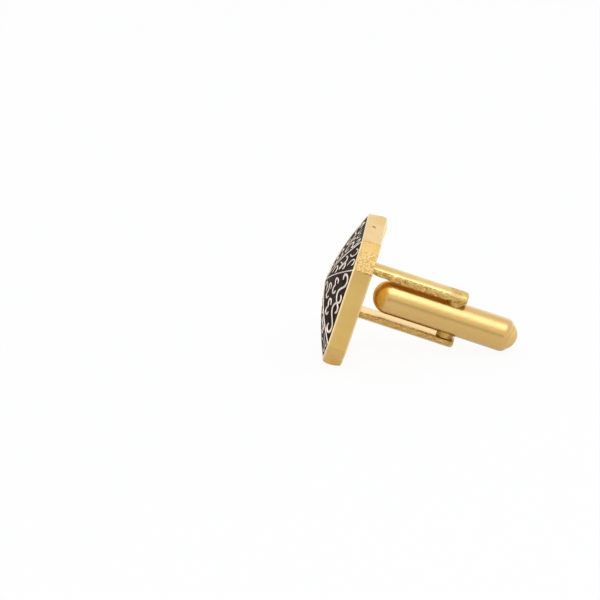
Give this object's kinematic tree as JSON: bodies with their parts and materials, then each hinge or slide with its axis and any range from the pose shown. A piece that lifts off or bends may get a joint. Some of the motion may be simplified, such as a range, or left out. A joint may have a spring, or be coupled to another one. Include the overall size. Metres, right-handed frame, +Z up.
{
  "type": "cufflink",
  "caption": "Octagonal domed cufflink with enamel panels between gold ridges, a pair of posts and a swivelling toggle bar that clicks open or crosswise to hold a shirt cuff.",
  "frame": {"origin": "on the table, under the middle of the link's outer box, with the link lying as it comes to rest: on the lower back edge of the head and the rolled mouth of the toggle", "axes": "+Z up from the table, +Y from the head towards the toggle's plugged end, +X to the right as the face is looked at"},
  "size_m": [0.016, 0.0234, 0.0157],
  "materials": {
    "cast_gold": "gold-plated casting, satin",
    "satin_gold": "gold-plated brass, satin",
    "polished_gold": "gold-plated brass, polished",
    "bare_brass": "turned brass, unplated",
    "spring_steel": "drawn spring wire",
    "black_enamel": "hard glossy black-brown enamel"
  },
  "bodies": {
    "link_frame": {"head_casting": "cast_gold", "enamel_top": "black_enamel", "enamel_upper_right": "black_enamel", "enamel_right": "black_enamel", "enamel_lower_right": "black_enamel", "enamel_bottom": "black_enamel", "enamel_lower_left": "black_enamel", "enamel_left": "black_enamel", "enamel_upper_left": "black_enamel", "upper_post": "satin_gold", "lower_post": "satin_gold", "pivot_pin": "satin_gold"},
    "toggle": {"toggle_barrel": "satin_gold", "end_plug": "polished_gold", "upper_washer": "polished_gold", "lower_washer": "polished_gold", "detent_spring": "spring_steel"},
    "plunger": {"detent_plunger": "bare_brass"}
  },
  "joints": [
    {"name": "toggle_swivel", "type": "hinge", "parent": "link_frame", "child": "toggle", "pos_m": [0, 0.00375, 0.00421], "axis": [0, 0.3376, 0.9413], "continuous": true},
    {"name": "plunger_slide", "type": "slide", "parent": "toggle", "child": "plunger", "axis": [0, -0.9413, 0.3376], "range_m": [0, 0.00016], "stiffness_N_per_m": 600, "springref_m": 0.0012, "deforming": ["detent_spring"]}
  ]
}
